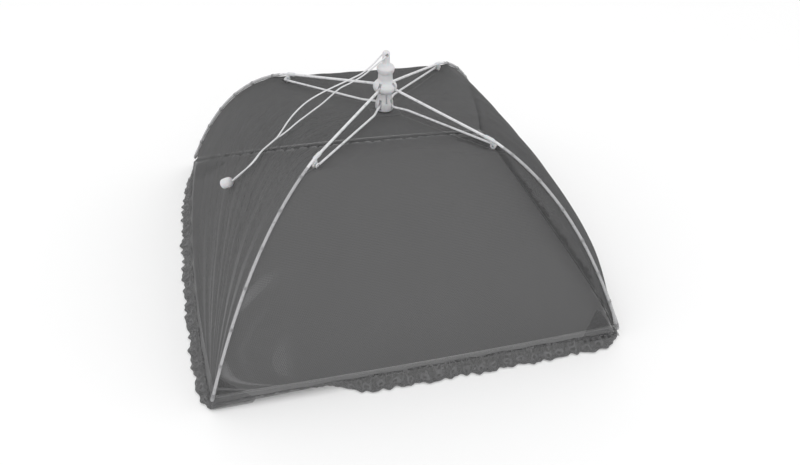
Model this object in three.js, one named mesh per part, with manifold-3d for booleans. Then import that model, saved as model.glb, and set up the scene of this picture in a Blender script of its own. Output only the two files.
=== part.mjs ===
import * as THREE from 'three';
import { mergeVertices } from 'three/addons/utils/BufferGeometryUtils.js';
import Module from 'manifold-3d';

// A pop-up mesh food tent: a push-up umbrella frame with its mesh hung inside, seen with +Z up.
// Lengths are millimetres. A rib's own frame has r out from the centre line, s sideways and z up.

const wasm = await Module();
wasm.setup();

// ---- driving dimensions ----
const RIB_PIVOT = [10.8, 207.3];
const STRUT_PIVOT = [8, 187];
const BRACKET = [127, 179];
const BRACKET_RIB = [127, 185];
const RIB_TIP = [295, 14.2];
const RIB_BOW = [[201, 160.7], [253.6, 94.6]];
const RIB_RADIUS = 1.4;
const STRUT_RADIUS = 1.15;
const STRUT_SIDE = 3.6;
const CORD_RADIUS = 0.75;
const FABRIC = 0.6;
const GAP = 0.3;
const SEAM = 0.5;
const PATCH_HALF = 15.2;
const EYE_HEIGHT = 243;
const LACE_REACH = 18;
const LACE_SCALLOPS = 8;

const RIBS = [['back_right', 45], ['back_left', 135], ['front_left', 225], ['front_right', 315]];
// each panel: the way it faces, how far its middle billows, and how far its lower edge stands out
const PANELS = { right: [0, 8, 10], back: [90, 3, 5], left: [180, 7, 6], front: [270, 8, 5] };
// the two panels beside each rib, and the side of the rib that each is on
const BESIDE = {
  back_right: [['right', -1], ['back', 1]],
  back_left: [['back', -1], ['left', 1]],
  front_left: [['left', -1], ['front', 1]],
  front_right: [['front', -1], ['right', 1]],
};

const paint = (color, roughness, metalness = 0) =>
  new THREE.MeshStandardMaterial({ color, roughness, metalness });
const plastic = paint(0xc9c9cc, 0.4);
const enamel = paint(0xdcdcdf, 0.35, 0.2);
const steel = paint(0xb4b6ba, 0.3, 0.9);
const netting = paint(0x616163, 0.9);
const tape = paint(0x6c6c6e, 0.85);
const lace = paint(0x77777a, 0.9);
const cord = paint(0xd4d4d6, 0.8);

const part = new THREE.Group();
part.name = 'food_tent';
const radians = THREE.MathUtils.degToRad;

function add(name, geometry, material) {
  const mesh = new THREE.Mesh(geometry, material);
  mesh.name = name;
  part.add(mesh);
  return mesh;
}

// ---- solids ----

function turned(profile, segments = 18) {
  const points = profile.map(([r, z]) => new THREE.Vector2(r, z));
  return new THREE.LatheGeometry(points, segments).rotateX(Math.PI / 2);
}

function tube(points, radius, sides, steps) {
  const path = new THREE.CatmullRomCurve3(points.map((p) => new THREE.Vector3(...p)), false, 'centripetal');
  const ring = [];
  for (let i = 0; i < sides; i += 1) {
    const a = (2 * Math.PI * i) / sides;
    ring.push(new THREE.Vector2(radius * Math.cos(a), radius * Math.sin(a)));
  }
  return new THREE.ExtrudeGeometry(new THREE.Shape(ring), { steps, extrudePath: path, bevelEnabled: false });
}

// a wire loop whose axis lies along Y, centred at (r, z) of the rib's plane
function loop(r, z, major, minor, s = 0) {
  return new THREE.TorusGeometry(major, minor, 6, 10).rotateX(Math.PI / 2).translate(r, s, z);
}

function solid(geometry) {
  const bare = geometry.clone();
  bare.deleteAttribute('normal');
  bare.deleteAttribute('uv');
  const merged = mergeVertices(bare, 1e-4);
  const triangles = [];
  const index = merged.index.array;
  for (let i = 0; i < index.length; i += 3) {
    const [a, b, c] = [index[i], index[i + 1], index[i + 2]];
    if (a !== b && b !== c && c !== a) triangles.push(a, b, c);
  }
  return new wasm.Manifold(new wasm.Mesh({
    numProp: 3,
    vertProperties: new Float32Array(merged.attributes.position.array),
    triVerts: new Uint32Array(triangles),
  }));
}

function geometryOf(manifold) {
  const mesh = manifold.getMesh();
  const geometry = new THREE.BufferGeometry();
  geometry.setAttribute('position', new THREE.BufferAttribute(mesh.vertProperties, 3));
  geometry.setIndex(new THREE.BufferAttribute(mesh.triVerts, 1));
  return geometry;
}

const joined = (...pieces) => pieces.map(solid).reduce((a, b) => a.add(b));
const cut = (body, ...tools) => tools.map(solid).reduce((a, b) => a.subtract(b), body);

// a thin closed sheet over a grid: at(i, j) gives its outer face, and its inner face lies behind
function sheet(rows, columns, at, thickness) {
  const outer = [];
  for (let i = 0; i <= rows; i += 1) {
    for (let j = 0; j <= columns; j += 1) outer.push(at(i / rows, j / columns));
  }
  const id = (i, j) => i * (columns + 1) + j;
  const edge = (a, b) => new THREE.Vector3().subVectors(outer[b], outer[a]);
  const inner = [];
  for (let i = 0; i <= rows; i += 1) {
    for (let j = 0; j <= columns; j += 1) {
      const down = edge(id(Math.max(i - 1, 0), j), id(Math.min(i + 1, rows), j));
      const across = edge(id(i, Math.max(j - 1, 0)), id(i, Math.min(j + 1, columns)));
      const normal = down.cross(across).normalize();
      inner.push(outer[id(i, j)].clone().addScaledVector(normal, -thickness));
    }
  }
  const count = outer.length;
  const faces = [];
  const quad = (a, b, c, d) => faces.push(a, b, c, a, c, d);
  for (let i = 0; i < rows; i += 1) {
    for (let j = 0; j < columns; j += 1) {
      const [a, b, c, d] = [id(i, j), id(i + 1, j), id(i + 1, j + 1), id(i, j + 1)];
      quad(a, b, c, d);
      quad(count + d, count + c, count + b, count + a);
    }
  }
  const rim = [];
  for (let j = 0; j < columns; j += 1) rim.push(id(0, j));
  for (let i = 0; i < rows; i += 1) rim.push(id(i, columns));
  for (let j = columns; j > 0; j -= 1) rim.push(id(rows, j));
  for (let i = rows; i > 0; i -= 1) rim.push(id(i, 0));
  rim.forEach((a, k) => {
    const b = rim[(k + 1) % rim.length];
    quad(b, b + count, a + count, a);
  });
  const geometry = new THREE.BufferGeometry();
  geometry.setAttribute('position', new THREE.Float32BufferAttribute(
    [...outer, ...inner].flatMap((p) => [p.x, p.y, p.z]), 3));
  geometry.setIndex(faces);
  return geometry;
}

// ---- crown: the moulded hub that the ribs hang on ----

function crown() {
  const [ringRadius, ringHeight] = RIB_PIVOT;
  const body = solid(turned([
    [0, 202.5], [12, 202.5], [12.6, 203.4], [12.6, 210.4], [11.6, 211.6], [8.2, 213], [7.5, 215],
    [7.5, 223], [9.3, 224.4], [9.3, 229], [8.4, 230.6], [4.4, 231.6], [3.75, 233],
    [3.75, 244.6], [2.9, 246], [0, 246],
  ]));
  const channel = new THREE.TorusGeometry(ringRadius, 0.85, 6, 20).translate(0, 0, ringHeight);
  const slots = RIBS.map(([, azimuth]) => new THREE.BoxGeometry(9, 3.4, 12)
    .translate(ringRadius + 1.2, 0, ringHeight).rotateZ(radians(azimuth)));
  const eye = new THREE.CylinderGeometry(1.5, 1.5, 12, 10).translate(0, 0, EYE_HEIGHT);
  add('crown', geometryOf(cut(body, channel, eye, ...slots)), plastic);
  add('crown_ring', new THREE.TorusGeometry(ringRadius, 0.5, 5, 20).translate(0, 0, ringHeight), steel);
}

// ---- runner: slides on the centre line, carries the struts and pinches the mesh under it ----

function runner() {
  const [ringRadius, ringHeight] = STRUT_PIVOT;
  const body = solid(turned([
    [2, 181], [8.6, 181], [9.6, 182], [9.6, 190], [8.4, 193], [7.6, 197], [7.6, 201.4], [6.8, 202.1], [2, 202.1], [2, 181],
  ]));
  const channel = new THREE.TorusGeometry(ringRadius, 0.85, 6, 20).translate(0, 0, ringHeight);
  const slots = RIBS.map(([, azimuth]) => new THREE.BoxGeometry(8, 3.4, 11.6)
    .translate(ringRadius + 1.6, 0, ringHeight + 1.7).rotateZ(radians(azimuth)));
  const flutes = [0, 90, 180, 270].map((azimuth) => new THREE.BoxGeometry(3, 2, 14)
    .translate(8.6, 0, 199).rotateZ(radians(azimuth)));
  add('runner', geometryOf(cut(body, channel, ...slots, ...flutes)), plastic);
  add('runner_ring', new THREE.TorusGeometry(ringRadius, 0.5, 5, 20).translate(0, 0, ringHeight), steel);
  const patch = new THREE.BoxGeometry(2 * PATCH_HALF, 2 * PATCH_HALF, FABRIC).translate(0, 0, 180.2);
  add('canopy_centre_patch', patch, tape);
  add('canopy_button', turned([[0, 176.8], [6, 176.8], [8, 177.6], [8.3, 179], [8, 179.5], [0, 179.5]]), plastic);
}

// ---- ribs with their end caps and brackets ----

function ribBow() {
  const start = new THREE.Vector3(BRACKET_RIB[0], 0, BRACKET_RIB[1]);
  const end = new THREE.Vector3(RIB_TIP[0] - 0.9, 0, RIB_TIP[1] + 1.75);
  const [shoulder, shin] = RIB_BOW.map(([r, z]) => new THREE.Vector3(r, 0, z));
  return new THREE.CubicBezierCurve3(start, shoulder, shin, end);
}

function ribPoints() {
  const [r0, z0] = RIB_PIVOT;
  const slope = (BRACKET_RIB[1] - z0) / (BRACKET_RIB[0] - r0);
  const straight = [1.6, 12, 60, 108].map((d) => [r0 + d, 0, z0 + d * slope]);
  return [...straight, ...ribBow().getPoints(9).map((p) => [p.x, p.y, p.z])];
}

function rib(name, azimuth) {
  const turn = radians(azimuth);
  const wire = geometryOf(joined(tube(ribPoints(), RIB_RADIUS, 8, 22), loop(...RIB_PIVOT, 1.7, 0.7)));
  add(`rib_${name}`, wire.rotateZ(turn), enamel);

  const bore = RIB_RADIUS + GAP;
  const lean = Math.atan2(RIB_TIP[0] - RIB_BOW[1][0], RIB_BOW[1][1] - RIB_TIP[1]);
  const cap = turned([[0, -3], [1.4, -2.6], [2.1, -1], [2.2, 4.6], [bore, 4.6], [bore, 1.3], [0, 1.3]], 8);
  cap.rotateY(-lean).translate(RIB_TIP[0], 0, RIB_TIP[1]);
  add(`tip_cap_${name}`, cap.rotateZ(turn), plastic);

  const slope = Math.atan2(BRACKET_RIB[1] - RIB_PIVOT[1], BRACKET_RIB[0] - RIB_PIVOT[0]);
  const setBack = 5;
  const place = (g) => g.rotateY(-slope)
    .translate(BRACKET_RIB[0] - setBack, 0, BRACKET_RIB[1] - setBack * Math.tan(slope));
  const sleeve = place(new THREE.CylinderGeometry(2.3, 2.3, 10, 8).rotateZ(Math.PI / 2));
  const hole = place(new THREE.CylinderGeometry(1.85, 1.85, 20, 8).rotateZ(Math.PI / 2));
  const neck = new THREE.BoxGeometry(4.4, 2.8, 4.6).translate(BRACKET[0] - 1, 0.5, BRACKET[1] + 3);
  const ear = new THREE.CylinderGeometry(3.2, 3.2, 2.8, 12).translate(BRACKET[0], 0.5, BRACKET[1]);
  add(`bracket_${name}`, geometryOf(cut(joined(sleeve, neck, ear), hole)).rotateZ(turn), plastic);
}

// ---- struts, each a wire beside its rib, with the rivet of its bracket ----

function strut(name, azimuth) {
  const [r0, z0] = STRUT_PIVOT;
  const [r1, z1] = BRACKET;
  const height = (r) => z0 + ((r - r0) * (z1 - z0)) / (r1 - r0);
  const points = [[r0 + 1.6, 0, z0], [14, 0.3, height(14)], [26, STRUT_SIDE, height(26)],
    [34, STRUT_SIDE, height(34)], [90, STRUT_SIDE, height(90)], [r1 - 2, STRUT_SIDE, height(r1 - 2)]];
  const wire = joined(tube(points, STRUT_RADIUS, 6, 12), loop(r0, z0, 1.7, 0.65),
    loop(r1, z1, 2, 0.75, STRUT_SIDE));
  add(`strut_${name}`, geometryOf(wire).rotateZ(radians(azimuth)), enamel);
  const rivet = turned([[0, -1.2], [0.8, -1.2], [0.8, 1.3], [2, 1.3], [1.6, 2.1], [0, 2.1]], 8);
  rivet.rotateX(-Math.PI / 2).translate(r1, STRUT_SIDE, z1);
  add(`strut_rivet_${name}`, rivet.rotateZ(radians(azimuth)), steel);
}

// ---- canopy: eight half panels, hem tapes and lace edges ----

// the seam between two panels passes under the struts and then lies against the inside of the rib
const UNDER_RIB = 2.5;
const seamUnderBow = [0.08, 0.16, 0.28, 0.4, 0.54, 0.68, 0.8, 0.9].map((t) => {
  const at = ribBow().getPoint(t);
  const way = ribBow().getTangent(t);
  return [at.x + way.z * UNDER_RIB, at.z - way.x * UNDER_RIB];
});
const ribLine = new THREE.CatmullRomCurve3([
  [22, 180.2], [75, 177], [112, 174.6], [127, 174], ...seamUnderBow, [288, 15],
].map(([r, z]) => new THREE.Vector3(r, 0, z)), false, 'centripetal');

// a point of a panel: down runs 0 to 1 from the centre patch to the hem, across -1 to 1 from rib to rib
function panelPoint(panel, down, across) {
  const [azimuth, billow, spread] = PANELS[panel];
  const onRib = ribLine.getPointAt(down);
  const slope = ribLine.getTangentAt(down);
  const middle = 1 - across * across;
  const swell = billow * Math.sin(Math.PI * Math.min(down * 1.02, 1)) ** 0.8 * middle;
  const half = onRib.x / Math.SQRT2;
  const lift = 2.5 * down ** 6 * middle;
  const out = half - slope.z * swell + spread * down ** 4 * middle;
  const point = new THREE.Vector3(out, half * across, onRib.z + slope.x * swell + lift);
  return point.applyAxisAngle(new THREE.Vector3(0, 0, 1), radians(azimuth));
}

// the hem hangs on from the panel's lower edge: fall runs 0 to 1 down the tape
function hemPoint(panel, fall, across) {
  const middle = 1 - across ** 4;
  const corner = new THREE.Vector3(203.6 + 8.4 * fall, 0, 15 - 10 * fall);
  const side = corner.x * across;
  const out = corner.x + (PANELS[panel][2] - 3.6 * fall) * (1 - across * across);
  const height = corner.z + (2.5 + 3.5 * fall) * middle;
  return new THREE.Vector3(out, side, height - 1)
    .applyAxisAngle(new THREE.Vector3(0, 0, 1), radians(PANELS[panel][0]));
}

// the lace flares out from the hem's lower edge to the surface that the tent stands on
function lacePoint(panel, fall, across) {
  const inner = hemPoint(panel, 1, across);
  const ends = Math.abs(across);
  const scallop = Math.abs(Math.sin(Math.PI * LACE_SCALLOPS * ends));
  const taper = 1 - 0.7 * THREE.MathUtils.smoothstep(ends, 0.9, 1);
  const reach = LACE_REACH * (0.88 + 0.12 * scallop) * taper * fall;
  const facing = new THREE.Vector3(1, across * ends ** 8, 0)
    .applyAxisAngle(new THREE.Vector3(0, 0, 1), radians(PANELS[panel][0]));
  inner.z += (1.3 - inner.z) * Math.sin((fall * Math.PI) / 2) - 0.8 * (1 - fall);
  return inner.addScaledVector(facing, GAP + reach);
}

function canopy(name) {
  for (const [panel, side] of BESIDE[name]) {
    // j runs from the rib to the middle of the panel, a seam's width short of both
    const between = (point, half) => (i, j) => {
      const short = SEAM / half(i);
      const fromRib = side > 0 ? 1 - j : j;
      return point(panel, i, -side * (1 - short - fromRib * (1 - 2 * short)));
    };
    const label = `${name}_${panel}`;
    add(`canopy_${label}`, sheet(10, 4, between(panelPoint, (down) => 15 + 190 * down), FABRIC), netting);
    add(`hem_${label}`, sheet(1, 8, between(hemPoint, () => 205), 1), tape);
    add(`lace_${label}`, sheet(2, 16, between(lacePoint, () => 212), FABRIC), lace);
  }
}

// ---- corner pockets: folded tape under each corner, which the tent stands on ----

function pocket(name, azimuth) {
  const reach = 298;
  const leg = 26;
  const outline = new THREE.Shape([[reach, 0], [reach - leg, leg], [reach - leg - 5, leg],
    [reach - leg - 5, -leg], [reach - leg, -leg]].map(([x, y]) => new THREE.Vector2(x, y)));
  const plate = new THREE.ExtrudeGeometry(outline, { depth: 2.6, bevelEnabled: false });
  add(`corner_pocket_${name}`, plate.rotateZ(radians(azimuth)), tape);
}

// ---- pull cord and its toggle ----

const TOGGLE = [-171, -24.5, 124.7];
const TOGGLE_WAY = [0.745, -0.423, 0.515];

function pullCord() {
  const front = [[-1, -4.8, 243], [-4.4, -4.2, 239], [-12.6, -0.4, 229.9], [-24.4, 0, 220.6],
    [-36.9, 0.2, 213.7], [-47.5, -0.6, 209.3], [-58.3, -2, 201.3], [-67.2, -5, 195.7], [-76.1, -8, 191.3],
    [-85.2, -13.5, 188.3], [-94.7, -22, 187.1], [-104.1, -30.5, 185], [-112.4, -32, 179.8],
    [-117.4, -31, 176], [-124.8, -32, 170.6], [-134.3, -32, 162.5], [-143.1, -33.2, 152.6],
    [-150.8, -32.6, 144.2], [-159.4, -29.8, 134.4], [-163.9, -27.2, 128.2]];
  const back = [[-1, 4.8, 243], [-4, 4.6, 239.6], [-12.9, 2.8, 231.1], [-24.2, 2.2, 222.7],
    [-36.7, 1.6, 217.2], [-53.4, 1.2, 210.5], [-66.1, 0, 205.5], [-79.1, -3, 200.3], [-90.2, -8, 194.9],
    [-101.9, -17, 188.5], [-111.7, -27.5, 182], [-117.6, -33.6, 178.2], [-123.9, -35, 173.6],
    [-133.4, -35.2, 165.5], [-140.2, -36.8, 157.6], [-146.6, -37.2, 151], [-154.9, -34.8, 142.5],
    [-161.6, -31.2, 134.6], [-164.8, -28.9, 129.8]];
  add('cord_strand_front', tube(front, CORD_RADIUS, 8, 46), cord);
  add('cord_strand_back', tube(back, CORD_RADIUS, 8, 46), cord);
  const bead = turned([[0, -6], [3.9, -6], [5.2, -4.6], [5.4, 0], [5.2, 3.6], [4.2, 5.2], [2.4, 6.2], [0, 6.2]], 12);
  const way = new THREE.Vector3(...TOGGLE_WAY).normalize();
  bead.applyQuaternion(new THREE.Quaternion().setFromUnitVectors(new THREE.Vector3(0, 0, 1), way));
  bead.translate(...TOGGLE);
  add('toggle', bead, plastic);
}

crown();
runner();
for (const [name, azimuth] of RIBS) {
  rib(name, azimuth);
  strut(name, azimuth);
  canopy(name);
  pocket(name, azimuth);
}
pullCord();

export default part;
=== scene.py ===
import math

import bpy
import numpy as np
from mathutils import Matrix, Vector


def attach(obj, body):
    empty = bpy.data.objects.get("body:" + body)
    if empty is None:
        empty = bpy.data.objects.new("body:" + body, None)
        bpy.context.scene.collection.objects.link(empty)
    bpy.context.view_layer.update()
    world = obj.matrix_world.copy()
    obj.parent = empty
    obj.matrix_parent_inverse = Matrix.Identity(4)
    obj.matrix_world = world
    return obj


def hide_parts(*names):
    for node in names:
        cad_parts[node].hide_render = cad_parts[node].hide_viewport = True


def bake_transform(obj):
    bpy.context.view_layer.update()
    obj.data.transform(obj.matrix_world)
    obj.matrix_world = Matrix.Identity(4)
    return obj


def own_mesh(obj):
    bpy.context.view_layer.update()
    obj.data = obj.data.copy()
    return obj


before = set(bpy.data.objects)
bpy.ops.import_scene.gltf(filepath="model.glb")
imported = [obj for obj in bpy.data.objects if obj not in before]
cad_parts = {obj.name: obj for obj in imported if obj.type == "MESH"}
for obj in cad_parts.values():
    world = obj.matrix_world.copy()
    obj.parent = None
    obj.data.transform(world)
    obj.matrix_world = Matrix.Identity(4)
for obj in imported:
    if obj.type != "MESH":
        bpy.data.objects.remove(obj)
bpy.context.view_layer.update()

# ---- camera ----
# The tent is looked down on from a little left of its front, so the whole front panel, the left
# panel and the frame over them show. The lens is a moderate wide one.
camera_place = Vector((-0.1698, -0.6333, 0.5382))
heading, dip, tilt = 0.3058, 0.6745, 0.0648
lens_mm, sensor_mm = 31.077, 36
forward = Vector((math.sin(heading) * math.cos(dip), math.cos(heading) * math.cos(dip), -math.sin(dip)))
level = Vector((math.cos(heading), -math.sin(heading), 0))
upright = level.cross(forward)
across_view = math.cos(tilt) * level + math.sin(tilt) * upright
up_view = math.cos(tilt) * upright - math.sin(tilt) * level
camera = bpy.data.objects.new("camera", bpy.data.cameras.new("camera"))
bpy.context.scene.collection.objects.link(camera)
camera_turn = Matrix((across_view, up_view, -forward)).transposed().to_4x4()
camera.matrix_world = Matrix.Translation(camera_place) @ camera_turn
camera.data.sensor_width = sensor_mm
camera.data.lens = lens_mm
camera.data.shift_x = -0.004
camera.data.clip_start = 0.01
bpy.context.scene.camera = camera

# ---- pull cord ----
# One length of braided polyester cord, doubled through the eye of the crown's stem. Both strands
# run down over the left panel and end in the toggle. It is drawn in as the tent folds.
SIDES = 16


def smooth_line(points, steps):
    """A curve through the points, as steps points between each two of them."""
    p = np.array(points, float)
    p = np.vstack([2 * p[0] - p[1], p, 2 * p[-1] - p[-2]])
    t = np.linspace(0, 1, steps, endpoint=False)[:, None]
    runs = []
    for a, b, c, d in zip(p, p[1:], p[2:], p[3:]):
        runs.append(0.5 * (2 * b + (c - a) * t + (2 * a - 5 * b + 4 * c - d) * t**2
                           + (3 * b - a - 3 * c + d) * t**3))
    return np.vstack([*runs, p[-2:-1]])


def new_piece(name, points, faces, uv=None, smooth=True):
    """A mesh object from points and faces, with uv given for each point."""
    mesh = bpy.data.meshes.new(name)
    mesh.from_pydata([tuple(map(float, p)) for p in points], [], faces)
    mesh.update()
    if uv is not None:
        layer = mesh.uv_layers.new(name="UVMap")
        loops = np.empty(len(mesh.loops), int)
        mesh.loops.foreach_get("vertex_index", loops)
        layer.data.foreach_set("uv", np.asarray(uv, np.float32)[loops].ravel())
    if smooth:
        mesh.shade_smooth()
    piece = bpy.data.objects.new(name, mesh)
    bpy.context.scene.collection.objects.link(piece)
    return piece


def wire(name, line, radius, sides=SIDES):
    """A closed round tube along a line; radius is a number or one for each point."""
    line = np.asarray(line, float)
    radii = np.broadcast_to(radius, len(line))
    along = np.gradient(line, axis=0)
    along /= np.linalg.norm(along, axis=1)[:, None]
    side = np.cross(along[0], (0, 0, 1) if abs(along[0][2]) < 0.9 else (1, 0, 0))
    run = np.concatenate([[0], np.cumsum(np.linalg.norm(np.diff(line, axis=0), axis=1))])
    turns = np.linspace(0, 2 * math.pi, sides, endpoint=False)
    points, uv = [], []
    for centre, way, r, v in zip(line, along, radii, run):
        side = side - (side @ way) * way
        side /= np.linalg.norm(side)
        other = np.cross(way, side)
        for a in turns:
            points.append(centre + r * (math.cos(a) * side + math.sin(a) * other))
            uv.append((a / (2 * math.pi), v))
    rings, faces = len(line), []
    for i in range(rings - 1):
        for j in range(sides):
            k = (j + 1) % sides
            faces.append((i * sides + j, i * sides + k, (i + 1) * sides + k, (i + 1) * sides + j))
    faces.append(tuple(range(sides - 1, -1, -1)))
    faces.append(tuple((rings - 1) * sides + j for j in range(sides)))
    return new_piece(name, points, faces, uv)


class Term:
    """One socket of a material, with arithmetic that adds Math nodes."""

    def __init__(self, finish, socket):
        self.finish, self.socket = finish, socket

    def _math(self, operation, *values):
        return self.finish.node("ShaderNodeMath", {"operation": operation}, dict(enumerate(values)))

    def __add__(self, other):
        return self._math("ADD", self, other)

    def __radd__(self, other):
        return self._math("ADD", other, self)

    def __sub__(self, other):
        return self._math("SUBTRACT", self, other)

    def __rsub__(self, other):
        return self._math("SUBTRACT", other, self)

    def __mul__(self, other):
        return self._math("MULTIPLY", self, other)

    def __rmul__(self, other):
        return self._math("MULTIPLY", other, self)

    def __truediv__(self, other):
        return self._math("DIVIDE", self, other)

    def __pow__(self, other):
        return self._math("POWER", self, other)

    def sin(self):
        return self._math("SINE", self)

    def abs(self):
        return self._math("ABSOLUTE", self)

    def most(self, other):
        return self._math("MAXIMUM", self, other)

    def least(self, other):
        return self._math("MINIMUM", self, other)

    def fraction(self):
        return self._math("FRACT", self)

    def above(self, edge, soft):
        return ((self - edge) / soft + 0.5).clamped()

    def clamped(self):
        return self.most(0.0).least(1.0)


class Finish:
    """A material: a Principled surface, and the nodes that vary it."""

    def __init__(self, name, **surface):
        self.material = bpy.data.materials.new(name)
        self.material.use_nodes = True
        self.tree = self.material.node_tree
        self.surface = self.tree.nodes["Principled BSDF"]
        self.set(**surface)

    def node(self, kind, settings=None, sockets=None, out=0):
        node = self.tree.nodes.new(kind)
        for key, value in (settings or {}).items():
            setattr(node, key, value)
        for key, value in (sockets or {}).items():
            if isinstance(value, Term):
                self.tree.links.new(value.socket, node.inputs[key])
            else:
                node.inputs[key].default_value = value
        return Term(self, node.outputs[out])

    def uv(self):
        place = self.node("ShaderNodeUVMap", {"uv_map": "UVMap"})
        split = self.node("ShaderNodeSeparateXYZ", None, {0: place})
        return split, Term(self, split.socket.node.outputs[1])

    def blend(self, share, first, second):
        settings = {"data_type": "RGBA"}
        return self.node("ShaderNodeMix", settings, {0: share, 6: first, 7: second}, out=2)

    def grain(self, scale, detail=3.0, stretch=(1, 1, 1)):
        place = self.node("ShaderNodeTexCoord", out=3)
        place = self.node("ShaderNodeVectorMath", {"operation": "MULTIPLY"}, {0: place, 1: stretch})
        return self.node("ShaderNodeTexNoise", None, {"Vector": place, "Scale": scale, "Detail": detail})

    def bump(self, height, strength, distance):
        sockets = {"Height": height, "Strength": strength, "Distance": distance}
        self.set(Normal=self.node("ShaderNodeBump", None, sockets))

    def set(self, **values):
        for key, value in values.items():
            socket = self.surface.inputs[key.replace("_", " ")]
            if isinstance(value, Term):
                self.tree.links.new(value.socket, socket)
            else:
                socket.default_value = value


def finish_piece(piece, finish, body):
    piece.data.materials.clear()
    piece.data.materials.append(finish.material)
    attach(piece, body)


def grey(level, blue=1.02):
    return (level, level, level * blue, 1)


braid = Finish("braided_cord", Roughness=0.75)
around, run = braid.uv()
strand_lay = ((around * 4 + run * 900).fraction() - 0.5).abs()
counter_lay = ((around * 4 - run * 900).fraction() - 0.5).abs()
plait = strand_lay.most(counter_lay) * 2
braid.set(Base_Color=braid.blend(plait, grey(0.55), grey(0.84)))
braid.bump(plait, 0.6, 0.0002)

cord_radius = 0.00075
stem_eye = Vector((0, 0, 0.243))
strand_routes = {
    "cord_strand_front": [
        (-1.2, -3.6, 241.9), (-4.6, -4, 238.8), (-12.6, -0.4, 229.9), (-24.4, 0, 220.6), (-36.9, 0.2, 213.7),
        (-47.5, -0.6, 209.3), (-58.3, -2, 201.3), (-67.2, -5, 195.7), (-76.1, -8, 191.3),
        (-85.2, -13.5, 188.3), (-94.7, -22, 187.1), (-104.1, -30.5, 185), (-112.4, -32, 179.8),
        (-117.4, -31, 176), (-124.8, -32, 170.6), (-134.3, -32, 162.5), (-143.1, -33.2, 152.6),
        (-150.8, -32.6, 144.2), (-159.4, -29.8, 134.4), (-164.6, -27.4, 128.6)],
    "cord_strand_back": [
        (-1.2, 3.9, 241.9), (-4.4, 4.4, 239.2), (-12.9, 2.8, 231.1), (-24.2, 2.2, 222.7), (-36.7, 1.6, 217.2),
        (-53.4, 1.2, 210.5), (-66.1, 0, 205.5), (-79.1, -3, 200.3), (-90.2, -8, 194.9),
        (-101.9, -17, 188.5), (-111.7, -27.5, 182), (-117.6, -33.6, 178.2), (-123.9, -35, 173.6),
        (-133.4, -35.2, 165.5), (-140.2, -36.8, 157.6), (-146.6, -37.2, 151), (-154.9, -34.8, 142.5),
        (-161.6, -31.2, 134.6), (-165.4, -28.6, 129.4)],
}
toggle_place = Vector((-0.171, -0.0245, 0.1247))
toggle_way = Vector((0.745, -0.423, 0.515)).normalized()
strands = []
for name, route in strand_routes.items():
    line = smooth_line(np.array(route) / 1000, 8)
    strand = wire(name + "_braid", line, cord_radius, 12)
    finish_piece(strand, braid, "crown")
    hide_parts(name)
    strands.append((strand, line))

# ---- toggle ----
# A stubby turned plastic bead with flat ends. The cord's two ends are knotted inside
# it, and fingers pull on it to raise the runner.


def turned(name, profile, segments=64):
    """A body of revolution about Z from an outline of (radius, height) in millimetres."""
    outline = np.array(profile, float) / 1000
    turns = np.linspace(0, 2 * math.pi, segments, endpoint=False)
    points, uv, rings, faces = [], [], [], []
    for r, z in outline:
        if r < 1e-7:
            rings.append([len(points)] * segments)
            points.append((0, 0, z))
            uv.append((0, z))
            continue
        rings.append(list(range(len(points), len(points) + segments)))
        points += [(r * math.cos(a), r * math.sin(a), z) for a in turns]
        uv += [(a / (2 * math.pi), z) for a in turns]
    for low, high in zip(rings, rings[1:]):
        for j in range(segments):
            k = (j + 1) % segments
            corners = list(dict.fromkeys((low[j], low[k], high[k], high[j])))
            if len(corners) > 2:
                faces.append(corners)
    return new_piece(name, points, faces, uv)


def rounded(profile, steps=5):
    """The outline with its corners eased, so that moulded edges catch the light."""
    p = np.array(profile, float)
    soft = [p[0]]
    for a, b, c in zip(p, p[1:], p[2:]):
        longer = max(np.linalg.norm(b - a), np.linalg.norm(c - b), 1e-6)
        cut = min(0.45, 0.6 / longer)
        start, end = b + (a - b) * cut, b + (c - b) * cut
        for t in np.linspace(0, 1, steps):
            soft.append((1 - t) ** 2 * start + 2 * t * (1 - t) * b + t * t * end)
    return np.array([*soft, p[-1]])


moulded = Finish("moulded_plastic", Roughness=0.38)
moulded.set(Subsurface_Weight=0.15, Subsurface_Scale=0.004, Coat_Roughness=0.3)
speckle = moulded.grain(900, 2)
cloud = moulded.grain(60, 3)
moulded.set(Base_Color=moulded.blend(cloud.above(0.5, 0.5), grey(0.60), grey(0.70)))
moulded.set(Roughness=0.3 + speckle * 0.16)
moulded.bump(speckle, 0.12, 0.0002)

toggle = turned("toggle_bead", rounded([
    (0, -6), (3.7, -6), (5.1, -4.9), (5.4, 0), (5.2, 3.6), (4.2, 5.3), (2.3, 6.2), (0, 6.2)]))
toggle.data.transform(toggle_way.to_track_quat("Z", "Y").to_matrix().to_4x4())
toggle.data.transform(Matrix.Translation(toggle_place))
finish_piece(toggle, moulded, "toggle")
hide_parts("toggle")
for strand, line in strands:
    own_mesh(strand)

# ---- crown ----
# The moulded hub: a stem with the cord's eye, a flared collar, a barrel, and a flange whose four
# slots take the rib ends. The ribs turn on a ring of wire that is snapped into the flange.
RIBS = {"back_right": 45, "back_left": 135, "front_left": 225, "front_right": 315}


def box(size, place, azimuth=0.0):
    """A box of that size, at (r, s, z) in the frame of the rib at that azimuth, in millimetres."""
    half = np.array(size) / 2000
    corners = [(x, y, z) for x in (-1, 1) for y in (-1, 1) for z in (-1, 1)]
    points = np.array(corners) * half + np.array(place) / 1000
    faces = [(0, 1, 3, 2), (4, 6, 7, 5), (0, 4, 5, 1), (2, 3, 7, 6), (0, 2, 6, 4), (1, 5, 7, 3)]
    tool = new_piece("tool", points, faces, smooth=False)
    tool.data.transform(Matrix.Rotation(math.radians(azimuth), 4, "Z"))
    return tool


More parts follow.
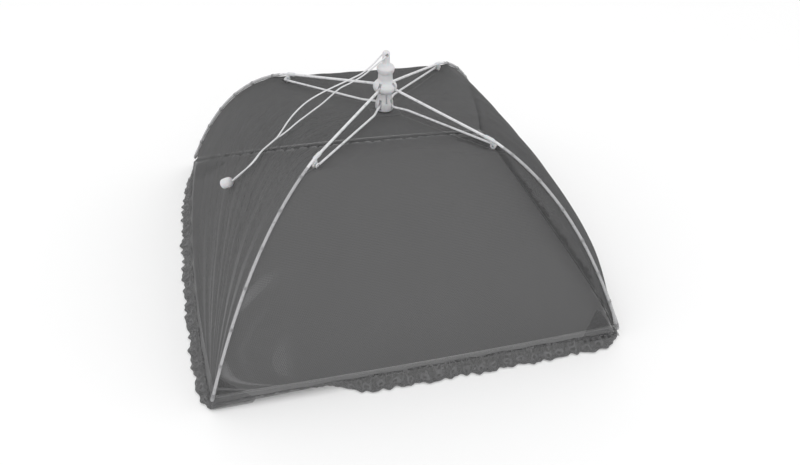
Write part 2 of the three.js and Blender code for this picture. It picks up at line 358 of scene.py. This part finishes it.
def ring(name, radius, wire_radius, height, segments=96, sides=14):
    """A closed ring of wire about Z, in millimetres."""
    points, faces = [], []
    for i in range(segments):
        a = 2 * math.pi * i / segments
        for j in range(sides):
            b = 2 * math.pi * j / sides
            r = radius + wire_radius * math.cos(b)
            points.append((r * math.cos(a) / 1000, r * math.sin(a) / 1000,
                           (height + wire_radius * math.sin(b)) / 1000))
            i2, j2 = (i + 1) % segments, (j + 1) % sides
            faces.append((i * sides + j, i2 * sides + j, i2 * sides + j2, i * sides + j2))
    return new_piece(name, points, faces)


def carve(piece, tools):
    """Cuts the tools out of a piece and applies its modifiers, with the sharp edges kept sharp."""
    for tool in tools:
        step = piece.modifiers.new("cut", "BOOLEAN")
        step.operation, step.object, step.solver = "DIFFERENCE", tool, "EXACT"
    bpy.context.view_layer.update()
    evaluated = piece.evaluated_get(bpy.context.evaluated_depsgraph_get())
    mesh = bpy.data.meshes.new_from_object(evaluated)
    piece.modifiers.clear()
    piece.data = mesh
    mesh.shade_smooth()
    mesh.set_sharp_from_angle(angle=math.radians(32))
    for tool in tools:
        bpy.data.objects.remove(tool)


crown = turned("crown_moulding", rounded([
    (0, 202.5), (9.8, 202.5), (11.9, 204.4), (12.6, 206.4), (12.4, 209), (10.9, 211.6), (8.6, 213.6),
    (7.6, 216), (7.4, 222.4), (8.8, 225), (9.4, 228.2), (8.2, 230.4), (4.9, 232), (3.9, 234.5),
    (3.75, 244), (3.1, 245.7), (0, 246)]), 96)
channel = ring("tool", 10.8, 0.85, 207.3, 72, 12)
slots = [box((9, 3.2, 12), (12, 0, 207.3), azimuth) for azimuth in RIBS.values()]
eye = turned("tool", [(0, -8), (1.75, -8), (1.75, 8), (0, 8)], 24)
eye.data.transform(Matrix.Rotation(math.pi / 2, 4, "X"))
eye.data.transform(Matrix.Translation(stem_eye))
bore = turned("tool", [(0, 201), (1.7, 201), (1.7, 209), (0, 209)], 24)
carve(crown, [channel, eye, bore, *slots])
finish_piece(crown, moulded, "crown")
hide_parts("crown")

bright = Finish("drawn_wire", Metallic=1.0)
drawn = bright.grain(500, 2, (1, 1, 6))
bright.set(Base_Color=bright.blend(drawn, grey(0.48), grey(0.66)))
bright.set(Roughness=0.24 + drawn * 0.18)
crown_ring = ring("crown_ring_wire", 10.8, 0.5, 207.3)
finish_piece(crown_ring, bright, "crown")
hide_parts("crown_ring")

# ---- runner ----
# The moulded slider under the crown. Its sleeve is split by slots into springy fingers, its foot
# holds the ring wire of the struts, and a button under it clamps the middle of the mesh.
runner = turned("runner_moulding", rounded([
    (1.9, 181), (8.2, 181), (9.4, 182.4), (9.6, 186), (9.2, 190), (8.1, 193.4), (7.5, 197.6),
    (7.6, 201.2), (6.8, 202.1), (1.9, 202.1), (1.9, 181)]), 96)
foot = ring("tool", 8, 0.85, 187, 72, 12)
strut_slots = [box((8, 3.2, 11.4), (9.6, 0, 188.7), azimuth) for azimuth in RIBS.values()]
finger_gaps = [box((3.4, 1.5, 15), (7.9, 0, 198.5), azimuth) for azimuth in (0, 90, 180, 270)]
ribbing = [box((1.4, 0.9, 8), (9.8, 0, 186), azimuth) for azimuth in range(15, 360, 30)]
carve(runner, [foot, *strut_slots, *finger_gaps, *ribbing])
finish_piece(runner, moulded, "runner")
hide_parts("runner")
runner_ring = ring("runner_ring_wire", 8, 0.5, 187)
finish_piece(runner_ring, bright, "runner")
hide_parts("runner_ring")
button = turned("mesh_button", rounded([
    (0, 176.8), (5.6, 176.9), (7.8, 177.5), (8.3, 178.6), (8, 179.5), (0, 179.5)]))
finish_piece(button, moulded, "runner")
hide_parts("canopy_button")
lift_cord = wire("lift_cord", [(0, 0, z) for z in np.linspace(0.2008, 0.2045, 12)], 1.1e-3, 12)
lift_cord.data.materials.append(braid.material)
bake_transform(lift_cord)

# ---- ribs ----
# Four spring-steel wires, coated pale. Each has an eye that turns on the crown's ring, runs straight
# to its bracket and then bows down to the corner, where a moulded cap covers its end.
coated = Finish("coated_wire", Roughness=0.34)
worn = coated.grain(260, 4)
fine = coated.grain(1400, 2)
coated.set(Base_Color=coated.blend(worn.above(0.62, 0.2), grey(0.72), grey(0.50)))
coated.set(Roughness=0.28 + fine * 0.2)
coated.bump(fine, 0.15, 0.0001)

rib_pivot, bracket_rib, rib_tip = (10.8, 207.3), (127, 185), (295, 14.2)
rib_bow = [bracket_rib, (201, 160.7), (253.6, 94.6), (rib_tip[0] - 0.9, rib_tip[1] + 1.75)]


def on_rib(azimuth, r, s, z):
    """A point of a rib's own frame, in millimetres, as a point of the tent in metres."""
    a = math.radians(azimuth)
    return np.array((r * math.cos(a) - s * math.sin(a), r * math.sin(a) + s * math.cos(a), z)) / 1000


def bow(t):
    p = np.array(rib_bow, float)
    return (1 - t) ** 3 * p[0] + 3 * t * (1 - t) ** 2 * p[1] + 3 * t * t * (1 - t) * p[2] + t**3 * p[3]


def eye_loop(name, centre, major, minor, azimuth, s=0.0):
    """A small wire eye whose axis is sideways to the rib, centred at (r, z)."""
    loop = ring(name, major, minor, 0, 40, 12)
    loop.data.transform(Matrix.Rotation(math.pi / 2, 4, "X"))
    loop.data.transform(Matrix.Translation(Vector((centre[0], s, centre[1])) / 1000))
    loop.data.transform(Matrix.Rotation(math.radians(azimuth), 4, "Z"))
    return loop


def join(pieces):
    """Joins pieces into the first one."""
    keep = pieces[0]
    with bpy.context.temp_override(active_object=keep, selected_editable_objects=pieces):
        bpy.ops.object.join()
    return keep


cap_plastic = Finish("cap_plastic", Roughness=0.5)
cap_plastic.set(Base_Color=cap_plastic.blend(cap_plastic.grain(500, 2), grey(0.26), grey(0.34)))
rib_slope = (bracket_rib[1] - rib_pivot[1]) / (bracket_rib[0] - rib_pivot[0])
for name, azimuth in RIBS.items():
    straight = [(rib_pivot[0] + d, rib_pivot[1] + d * rib_slope) for d in np.linspace(1.6, 108, 16)]
    outline = [*straight, *[bow(t) for t in np.linspace(0, 1, 60)]]
    rib = wire(f"rib_wire_{name}", [on_rib(azimuth, r, 0, z) for r, z in outline], 1.4e-3)
    rib = join([rib, eye_loop("eye", rib_pivot, 1.7, 0.75, azimuth)])
    finish_piece(rib, coated, f"rib_{name}")
    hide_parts(f"rib_{name}")

    cap = turned(f"rib_cap_{name}", rounded([
        (0, -3), (1.3, -2.7), (1.95, -1), (2.05, 4.6), (1.6, 4.6), (1.6, 1.2), (0, 1.2)]), 32)
    end_way = Vector((rib_bow[2][0] - rib_tip[0], 0, rib_bow[2][1] - rib_tip[1]))
    cap.data.transform(end_way.to_track_quat("Z", "Y").to_matrix().to_4x4())
    cap.data.transform(Matrix.Translation(Vector((rib_tip[0], 0, rib_tip[1])) / 1000))
    cap.data.transform(Matrix.Rotation(math.radians(azimuth), 4, "Z"))
    finish_piece(cap, cap_plastic, f"rib_{name}")
    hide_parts(f"tip_cap_{name}")

# ---- brackets ----
# A small moulded clip crimped round each rib where it leaves the straight. Its ear hangs below the
# rib, a round tab with a hollow eyelet through it, and takes the rivet of the strut.
for name, azimuth in RIBS.items():
    set_back = 5
    sleeve = turned(f"bracket_clip_{name}", rounded([
        (1.5, -5), (1.75, -5), (2.05, -4.2), (2.05, 4.2), (1.75, 5), (1.5, 5), (1.5, -5)]), 32)
    sleeve.data.transform(Matrix.Rotation(math.pi / 2, 4, "Y"))
    sleeve.data.transform(Matrix.Rotation(-math.atan(rib_slope), 4, "Y"))
    sleeve.data.transform(Matrix.Translation(
        Vector((bracket_rib[0] - set_back, 0, bracket_rib[1] - set_back * rib_slope)) / 1000))
    sleeve.data.transform(Matrix.Rotation(math.radians(azimuth), 4, "Z"))
    neck = box((4.2, 2.4, 4.6), (126, 0.5, 182), azimuth)
    soften = neck.modifiers.new("edges", "BEVEL")
    soften.width, soften.segments = 0.0007, 3
    carve(neck, [])
    ear = turned(f"bracket_ear_{name}", rounded([
        (1.1, -1.3), (1.9, -1.3), (1.9, -1.1), (3.2, -1.1), (3.2, 1.3), (1.1, 1.3), (1.1, -1.3)]), 40)
    ear.data.transform(Matrix.Rotation(-math.pi / 2, 4, "X"))
    ear.data.transform(Matrix.Translation(Vector((127, 0.5, 179)) / 1000))
    ear.data.transform(Matrix.Rotation(math.radians(azimuth), 4, "Z"))
    clip = join([sleeve, neck, ear])
    finish_piece(clip, moulded, f"rib_{name}")
    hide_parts(f"bracket_{name}")

# ---- struts ----
# Four thinner coated wires from the runner's ring to the brackets. Each is joggled sideways so that
# it lies beside its rib, and has a formed eye at both ends; a steel rivet holds the outer one.
strut_pivot, bracket, strut_side = (8, 187), (127, 179), 3.6
for name, azimuth in RIBS.items():
    fall = (bracket[1] - strut_pivot[1]) / (bracket[0] - strut_pivot[0])
    route = [(9.6, 0), (14, 0.3), (20, 2), (26, 3.4), (34, 3.6), (60, 3.6), (90, 3.6), (125, 3.6)]
    line = smooth_line([on_rib(azimuth, r, s, strut_pivot[1] + (r - strut_pivot[0]) * fall)
                        for r, s in route], 6)
    strut = wire(f"strut_wire_{name}", line, 1.15e-3)
    strut = join([strut, eye_loop("eye", strut_pivot, 1.7, 0.7, azimuth),
                  eye_loop("eye", bracket, 2, 0.8, azimuth, strut_side)])
    finish_piece(strut, coated, f"strut_{name}")
    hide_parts(f"strut_{name}")
    rivet = turned(f"rivet_{name}", rounded([
        (0, -1.2), (0.8, -1.2), (0.8, 1.1), (1.9, 1.2), (1.9, 1.5), (1.3, 2), (0, 2.1)]), 32)
    rivet.data.transform(Matrix.Rotation(-math.pi / 2, 4, "X"))
    rivet.data.transform(Matrix.Translation(Vector((bracket[0], strut_side, bracket[1])) / 1000))
    rivet.data.transform(Matrix.Rotation(math.radians(azimuth), 4, "Z"))
    finish_piece(rivet, bright, f"strut_{name}")
    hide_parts(f"strut_rivet_{name}")

# ---- mesh canopy ----
# Four panels of fine knitted netting, sewn edge to edge along the ribs and tied under them. Each
# panel billows a little, and the left one is pulled into long creases from its front corner.

# The way each panel faces, its billow, how far its hem stands out, and its lean to one side.
PANELS = {
    "right": (0, 7, 5, -0.5),
    "back": (90, 4, 5, 0),
    "left": (180, 7, 12, 0),
    "front": (270, 8, 5, 0),
}
PANEL_HALF = 212
BESIDE = {
    "back_right": (("right", -1), ("back", 1)), "back_left": (("back", -1), ("left", 1)),
    "front_left": (("left", -1), ("front", 1)), "front_right": (("front", -1), ("right", 1))}
seam_drop = 1.8
seam = [(22, 0, 180.2), (75, 0, 177), (112, 0, 175.7), (127, 0, 175.3)]
for t in (0.08, 0.16, 0.28, 0.4, 0.54, 0.68, 0.8, 0.9, 0.96):
    fall_way = bow(t + 0.001) - bow(t - 0.001)
    fall_way /= np.linalg.norm(fall_way)
    here = bow(t) + seam_drop * np.array([fall_way[1], -fall_way[0]])
    seam.append((here[0], 0, here[1]))
hem_corner = (291.4, 0, 15)
rib_line = smooth_line([*seam, hem_corner], 16)
slack_start = [seam[0], (80, 0, 178.6), (134, 0, 175), (184, 0, 151.5)]
soft_line = smooth_line([*slack_start, *seam[8::2], hem_corner], 16)
rib_run = np.concatenate([[0], np.cumsum(np.linalg.norm(np.diff(rib_line, axis=0), axis=1))])
rib_way = np.gradient(rib_line, axis=0)
rib_way /= np.linalg.norm(rib_way, axis=1)[:, None]
soft_run = np.concatenate([[0], np.cumsum(np.linalg.norm(np.diff(soft_line, axis=0), axis=1))])
soft_run *= rib_run[-1] / soft_run[-1]


def ripple(panel, down, across):
    """How far the slack netting stands out at a point, in millimetres."""
    middle = 1 - across**2
    waves = 0.5 * np.sin(19 * across + 5 * down) * np.sin(9 * down + 2 * across)
    waves += 0.25 * np.sin(37 * across - 11 * down) * down
    gathers = 0.5 * np.sin(60 * down) * across**8
    if panel != "left":
        return middle * waves * 0.8 + 0.3 * gathers
    height, along = (1 - down) * 1.3, 1.04 - across
    angle = np.arctan2(height, along)
    reach = np.hypot(height, along)
    strength = np.exp(-((reach - 0.75) / 0.7) ** 2)
    fan = 26 * angle + 1.2 * np.sin(2.3 * reach)
    crease = np.abs(np.sin(fan)) ** 0.3 - 0.85 + 0.5 * (np.abs(np.sin(1.7 * fan + 1)) ** 0.3 - 0.85)
    strength = strength * np.clip((1 - across) / 0.3, 0, 1)
    return (0.6 * waves + 2.2 * crease * strength) * middle ** 0.5


def fullness(panel, across):
    """How far a panel has swelled between its two ribs, from 0 at each of them."""
    lean = PANELS[panel][3]
    return (1 - np.abs(across) ** (3 if lean else 2)) * (1 + lean * across)


def panel_points(panel, down, across):
    _, billow, spread, _ = PANELS[panel]
    at = down * rib_run[-1]
    slack = 1 - across**2
    r = np.interp(at, rib_run, rib_line[:, 0]) * (1 - slack)
    r = r + np.interp(at, soft_run, soft_line[:, 0]) * slack
    z = np.interp(at, rib_run, rib_line[:, 2]) * (1 - slack)
    z = z + np.interp(at, soft_run, soft_line[:, 2]) * slack
    way_r = np.interp(at, rib_run, rib_way[:, 0])
    way_z = np.interp(at, rib_run, rib_way[:, 2])
    middle = fullness(panel, across)
    swell = billow * np.sin(math.pi * np.minimum(down * 1.02, 1)) ** 0.8 * middle
    if panel == "right":
        swell = swell + 30 * down**4 * (1 - down**14) * middle
    swell = swell + ripple(panel, down, across) * np.sin(math.pi * np.minimum(down * 1.01, 1)) ** 0.5
    half = r / math.sqrt(2)
    out = half - way_z * swell + spread * down**4 * middle
    return placed(panel, out, half * across, z + way_r * swell + 2.5 * down**6 * middle)


def placed(panel, out, side, height):
    a = math.radians(PANELS[panel][0])
    return np.stack([out * math.cos(a) - side * math.sin(a),
                     out * math.sin(a) + side * math.cos(a), height], -1) / 1000


def half_sheet(name, panel, side, shape, rows, columns, width, depth):
    """Half a panel's sheet, from the rib to the middle, with its normals taken from the whole panel."""
    down, share = np.meshgrid(np.linspace(0, 1, rows + 1), np.linspace(0, 1, columns + 1), indexing="ij")
    seam = 0.2 / (15 + (width - 15) * down)
    across = -side * (1 - seam - share * (1 - seam))
    points = shape(panel, down, across)
    step = 1e-3
    below, above = np.minimum(down + step, 1), np.maximum(down - step, 0)
    slope_down = shape(panel, below, across) - shape(panel, above, across)
    slope_across = shape(panel, down, across + step) - shape(panel, down, across - step)
    normals = np.cross(slope_down, slope_across)
    normals /= np.linalg.norm(normals, axis=-1)[..., None] + 1e-12
    uv = np.stack([across * width / 1000, down * depth / 1000], -1)
    faces = []
    for i in range(rows):
        for j in range(columns):
            a = i * (columns + 1) + j
            quad = (a, a + columns + 1, a + columns + 2, a + 1)
            faces.append(quad if side > 0 else quad[::-1])
    piece = new_piece(name, points.reshape(-1, 3), faces, uv.reshape(-1, 2))
    piece.data.normals_split_custom_set_from_vertices(normals.reshape(-1, 3))
    return piece


def fold_with_rib(piece, name, side):
    """Gives the cloth piece its own copy of its mesh; a slanting direction to one side of the rib is worked
    out but not used.
    """
    azimuth = math.radians(RIBS[name])
    r, s, z = 0.35, -0.755 * side, 0.555
    way = (r * math.cos(azimuth) - s * math.sin(azimuth), r * math.sin(azimuth) + s * math.cos(azimuth), z)
    on_rib(RIBS[name], 301, 0, 4)
    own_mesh(piece)


netting = Finish("knitted_netting", Roughness=0.9)
u, v = netting.uv()
mesh_size = 0.0016
cell = 1 / mesh_size
slant = math.sqrt(3) / 2
lean_right = ((u * (cell * slant) + v * (cell / 2)).fraction() - 0.5).abs()
lean_left = ((u * (cell * slant) - v * (cell / 2)).fraction() - 0.5).abs()
level_row = ((v * cell).fraction() - 0.5).abs()
thread = lean_right.most(lean_left).most(level_row).above(0.36, 0.1)
slub = netting.grain(35, 4, (1, 1, 0.3))
weave_row = netting.grain(420, 2)
cloth = netting.blend((slub * 0.7 + weave_row * 0.3).clamped(), grey(0.043), grey(0.06))
# The left panel gets lighter streaks fanning up from its front corner: a painted highlight along its creases.
# The netting is also made a little more opaque on them.
streak_place = netting.node("ShaderNodeTexCoord", out=3)
split = netting.node("ShaderNodeSeparateXYZ", None, {0: streak_place})
side_way = Term(netting, split.socket.node.outputs[1])
height = Term(netting, split.socket.node.outputs[2])
from_corner = side_way + 0.216
fan = netting.node("ShaderNodeMath", {"operation": "ARCTAN2"}, {0: height, 1: from_corner})
reach = (height * height + from_corner * from_corner) ** 0.5
crease_highlight_fan = netting.node("ShaderNodeTexNoise", {"noise_dimensions": "1D"},
                      {"W": fan, "Scale": 16.0, "Detail": 2.0})
on_left = (split * -1.0).above(0.15, 0.04)
crease_highlight = crease_highlight_fan.above(0.56, 0.12) * on_left * reach.above(0.17, -0.16)
netting.set(Base_Color=netting.blend(crease_highlight * 0.8, cloth, grey(0.15)))
glancing = netting.node("ShaderNodeLayerWeight", None, {"Blend": 0.5}, out=1)
netting.set(Alpha=0.66 + thread * 0.12 + crease_highlight * 0.06 + glancing * glancing * 0.2)
netting.bump(thread, 0.25, 0.0002)

canopy_halves = {}
for name, sides in BESIDE.items():
    for panel, side in sides:
        label = f"{name}_{panel}"
        rows, columns = (130, 110) if panel == "left" else (72, 40)
        half = half_sheet(f"netting_{label}", panel, side, panel_points, rows, columns, PANEL_HALF, 330)
        finish_piece(half, netting, f"rib_{name}")
        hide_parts(f"canopy_{label}")
        canopy_halves[label] = half

# ---- rib casings and ties ----
# A narrow strip of the netting is sewn over each rib below its bracket, and thread ties through it
# keep the wire to the seam.
casing_net = Finish("casing_net", Roughness=0.9)
around, run = casing_net.uv()
casing_thread = ((around * 9 + run * 620).fraction() - 0.5).abs().above(0.3, 0.12)
casing_net.set(Base_Color=grey(0.26))
casing_net.set(Alpha=0.22 + casing_thread * 0.3)
tie_thread = Finish("tie_thread", Roughness=0.8)
tie_lay = (tie_thread.uv()[1] * 2600).sin() * 0.5 + 0.5
tie_thread.set(Base_Color=tie_thread.blend(tie_lay, grey(0.2), grey(0.36)))
for name, azimuth in RIBS.items():
    path = [on_rib(azimuth, *np.insert(bow(t), 1, 0)) for t in np.linspace(0.05, 1, 64)]
    path.append(on_rib(azimuth, 296.2, 0, 11.4))
    girth = [1.75e-3] * 60 + [2e-3, 2.3e-3, 2.3e-3, 2.25e-3, 1.2e-3]
    casing = wire(f"rib_casing_{name}", path, girth)
    casing.data.materials.append(casing_net.material)
    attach(casing, f"rib_{name}")
    ties = []
    for t in (0.1, 0.26, 0.42, 0.58, 0.74, 0.88):
        for shift in (-0.004, 0, 0.004):
            way = Vector(on_rib(azimuth, *np.insert(bow(t + shift + 0.001) - bow(t + shift), 1, 0)))
            tie = ring("tie", 1.95, 0.22, 0, 24, 8)
            tie.data.transform(way.to_track_quat("Z", "Y").to_matrix().to_4x4())
            tie.data.transform(Matrix.Translation(on_rib(azimuth, *np.insert(bow(t + shift), 1, 0))))
            ties.append(tie)
    ties = join(ties)
    ties.name = f"rib_ties_{name}"
    ties.data.materials.append(tie_thread.material)
    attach(ties, f"rib_{name}")

# ---- hem tape ----
# A folded strip of closer cloth, sewn along the panels' lower edges with two rows of stitches, and
# a square of the same cloth where the four panels meet under the runner.


def hem_points(panel, fall, across):
    middle = 1 - across**4
    corner = 206.1 + 6.2 * fall
    ease = 0.5 * np.sin(31 * across) * np.sin(math.pi * fall) * middle
    out = corner + (PANELS[panel][2] - 3.6 * fall) * fullness(panel, across) + ease
    return placed(panel, out, corner * across, 14 - 10 * fall + (2.5 + 3.5 * fall) * middle)


woven_tape = Finish("hem_tape", Roughness=0.85)
u, v = woven_tape.uv()
rib_weave = ((u * 1400).fraction() - 0.5).abs() * 2
stitch_rows = (v * 1000 - 1.4).abs().above(0.45, -0.2)
stitch_dash = ((u * 380).fraction() - 0.5).abs().above(0.18, 0.1)
stitches = (stitch_rows * stitch_dash).clamped()
cloth = woven_tape.blend(rib_weave * 0.5 + woven_tape.grain(90, 3) * 0.5, grey(0.095), grey(0.125))
woven_tape.set(Base_Color=woven_tape.blend(stitches, cloth, grey(0.19)))
woven_tape.set(Alpha=0.7)
woven_tape.bump(rib_weave * 0.4 + stitches, 0.5, 0.0003)


def thicken(piece, thickness):
    body = piece.modifiers.new("cloth_thickness", "SOLIDIFY")
    body.thickness, body.offset = thickness, -1


hems = {}
for name, sides in BESIDE.items():
    for panel, side in sides:
        label = f"{name}_{panel}"
        hem = half_sheet(f"hem_tape_{label}", panel, side, hem_points, 8, 72, PANEL_HALF, 10)
        finish_piece(hem, woven_tape, f"rib_{name}")
        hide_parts(f"hem_{label}")
        hems[label] = hem

patch_size, patch_cells = 30.4, 16
across_patch = patch_cells + 1
grid = np.linspace(-patch_size / 2, patch_size / 2, across_patch)
patch_points = [(x, y, 180.5) for y in grid for x in grid]
patch_faces = [(i * across_patch + j, i * across_patch + j + 1,
                (i + 1) * across_patch + j + 1, (i + 1) * across_patch + j)
               for i in range(patch_cells) for j in range(patch_cells)]
patch = new_piece("centre_patch", np.array(patch_points) / 1000, patch_faces,
                  [(x / 1000, y / 1000) for y in grid for x in grid])
thicken(patch, 0.0006)
finish_piece(patch, woven_tape, "runner")
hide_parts("canopy_centre_patch")

# ---- lace edging ----
# Raschel lace about 18 mm deep, gathered on to the hem: a net ground with rows of round eyelets and
# sprigs, and a scalloped edge. Along part of the front it has turned under the hem.
LACE_DEPTH = 18


def lace_points(panel, fall, across):
    inner = hem_points(panel, np.full_like(fall, 0.5), across)
    ends = np.abs(across)
    at = across * PANEL_HALF + PANELS[panel][0] * 3
    edge = (0.82 + 0.08 * np.sin(at / 2.9 + 2 * np.sin(at / 17)) + 0.05 * np.sin(at / 1.6 + np.sin(at / 7))
            + 0.06 * np.sin(at / 9.7))
    reach = LACE_DEPTH * edge * fall
    if panel == "front":
        tucked = np.clip((-0.26 - across) / 0.3, 0, 1)
        tucked = tucked * tucked * (3 - 2 * tucked)
        reach = reach * (1 - tucked) - 11 * fall * tucked
        reach = reach * (0.78 + 0.1 * across)
    if panel == "right":
        reach = reach * np.clip((across + 1) / 0.5, 0, 1)
    if panel == "left":
        reach = reach * 0.8 * np.clip((across + 1.02) / 0.4, 0, 1) ** 0.7
    corner = np.clip((ends - 0.86) / 0.14, 0, 1)
    reach = reach * (1 - 0.94 * corner**1.5)
    gather = (0.9 * np.sin(at / 2.6) + 0.5 * np.sin(at / 1.1 + 1)) * np.sin(math.pi * fall) ** 0.5
    a = math.radians(PANELS[panel][0])
    mitre = across * ends**8
    facing = np.stack([math.cos(a) - mitre * math.sin(a), math.sin(a) + mitre * math.cos(a),
                       np.zeros_like(mitre)], -1)
    points = inner + facing * ((1 + reach) / 1000)[..., None]
    height = inner[..., 2] * 1000
    height = height + (1.6 - height) * np.sin(fall * math.pi / 2) - 0.6 * (1 - fall) + gather
    points[..., 2] = np.maximum(height, 0.7) / 1000
    return points


lacework = Finish("lace_edging", Roughness=0.9)
u, v = lacework.uv()
lace_place = lacework.node("ShaderNodeUVMap", {"uv_map": "UVMap"})
noise = lacework.node("ShaderNodeTexNoise", None, {"Vector": lace_place, "Scale": 90.0, "Detail": 2.0}, out=1)
centred = {0: noise, 1: (0.5, 0.5, 0.5)}
wander = lacework.node("ShaderNodeVectorMath", {"operation": "SUBTRACT"}, centred)
wander = lacework.node("ShaderNodeVectorMath", {"operation": "MULTIPLY"}, {0: wander, 1: (0.009, 0.009, 0)})
drawn_up = lacework.node("ShaderNodeVectorMath", {"operation": "ADD"}, {0: lace_place, 1: wander})
net_cells = lacework.node("ShaderNodeTexVoronoi", {"feature": "DISTANCE_TO_EDGE"}, {
    "Vector": lace_place, "Scale": 620.0, "Randomness": 0.7})
net_thread = net_cells.above(0.11, -0.08)
split = lacework.node("ShaderNodeSeparateXYZ", None, {0: drawn_up})
u, v = split, Term(lacework, split.socket.node.outputs[1])
repeat = 0.0148
place_u = ((u / repeat).fraction() - 0.5) * (repeat * 1000)
place_v = v * 1000 - 10.5
flower = (place_u * place_u + place_v * place_v) ** 0.5
petal = flower.above(4.4, -0.8)
eyelet = flower.above(1.7, -0.5)
small_u = ((u / repeat * 2 + 0.5).fraction() - 0.5) * (repeat * 500)
small_v = v * 1000 - 4.4
small_hole = ((small_u * small_u + small_v * small_v) ** 0.5).above(1.5, -0.5)
gap_v = v * 1000 - 15
gap_hole = ((small_u * small_u + gap_v * gap_v) ** 0.5).above(1.2, -0.4)
edge_cord = (v * 1000).above(16.6, 0.8)
solid_work = (petal.most(edge_cord)).clamped()
holes = eyelet.most(small_hole).most(gap_hole)
cover = (solid_work.most(net_thread) - holes).clamped()
patchy = lacework.grain(140, 3)
thread_tone = lacework.blend(patchy, grey(0.09), grey(0.17))
lacework.set(Base_Color=lacework.blend(cover, grey(0.02), thread_tone))
lacework.set(Alpha=0.62 + cover * 0.34)
lacework.bump(cover, 0.8, 0.0005)
for name, sides in BESIDE.items():
    for panel, side in sides:
        label = f"{name}_{panel}"
        lace = half_sheet(f"lace_edge_{label}", panel, side, lace_points, 14, 300, PANEL_HALF, LACE_DEPTH)
        finish_piece(lace, lacework, f"rib_{name}")
        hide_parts(f"lace_{label}")
        half = canopy_halves[label]
        for cloth_piece in (half, hems[label], lace):
            fold_with_rib(cloth_piece, name, side)

# ---- corner pockets ----
# A doubled corner of hem tape, sewn flat under each corner of the tent. The rib ends press into
# them, and the tent stands on them.
pocket_cloth = Finish("pocket_cloth", Roughness=0.9)
pocket_weave = pocket_cloth.grain(700, 2)
pocket_cloth.set(Base_Color=pocket_cloth.blend(pocket_weave, grey(0.06), grey(0.1)))
pocket_cloth.set(Alpha=0.1 + pocket_weave * 0.14)
pocket_cloth.bump(pocket_weave, 0.4, 0.0003)
for name, azimuth in RIBS.items():
    outline = [(298, 0), (272, 26), (267, 26), (267, -26), (272, -26)]
    low = [on_rib(azimuth, r, s, 0) for r, s in outline]
    high = [on_rib(azimuth, r, s, 2.6) for r, s in outline]
    sides = [(i, (i + 1) % 5, (i + 1) % 5 + 5, i + 5) for i in range(5)]
    place = [(s / 1000, (r - 267) / 1000) for r, s in outline] * 2
    faces = [(4, 3, 2, 1, 0), (5, 6, 7, 8, 9), *sides]
    pocket = new_piece(f"pocket_{name}", low + high, faces, place, smooth=False)
    edges = pocket.modifiers.new("edges", "BEVEL")
    edges.width, edges.segments = 0.0008, 3
    finish_piece(pocket, pocket_cloth, f"rib_{name}")
    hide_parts(f"corner_pocket_{name}")
    sideways = Vector(on_rib(azimuth, 0, 1000, 0))
    on_rib(azimuth, 285, 0, 1)
    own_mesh(pocket)

# ---- floor and light ----
# A plain white sweep and soft white light from all round, with one large lamp above and to the left.
floor_size = 3.0
floor = new_piece("floor", [(-floor_size, -floor_size, -0.0004), (floor_size, -floor_size, -0.0004),
                            (floor_size, floor_size, -0.0004), (-floor_size, floor_size, -0.0004)],
                  [(0, 1, 2, 3)], smooth=False)
paper = Finish("white_sweep", Roughness=0.9)
paper.set(Base_Color=(0.96, 0.96, 0.96, 1))
floor.data.materials.append(paper.material)
world = bpy.data.worlds.new("studio")
world.use_nodes = True
world.node_tree.nodes["Background"].inputs[0].default_value = (1, 1, 1, 1)
world.node_tree.nodes["Background"].inputs[1].default_value = 1.0
bpy.context.scene.world = world
lamp = bpy.data.objects.new("lamp", bpy.data.lights.new("lamp", "AREA"))
lamp.data.energy, lamp.data.size = 5, 1.6
lamp.location = (-0.3, -1.0, 1.7)
lamp.rotation_euler = (-lamp.location).to_track_quat("-Z", "Y").to_euler()
bpy.context.scene.collection.objects.link(lamp)
bpy.context.scene.view_settings.view_transform = "Standard"
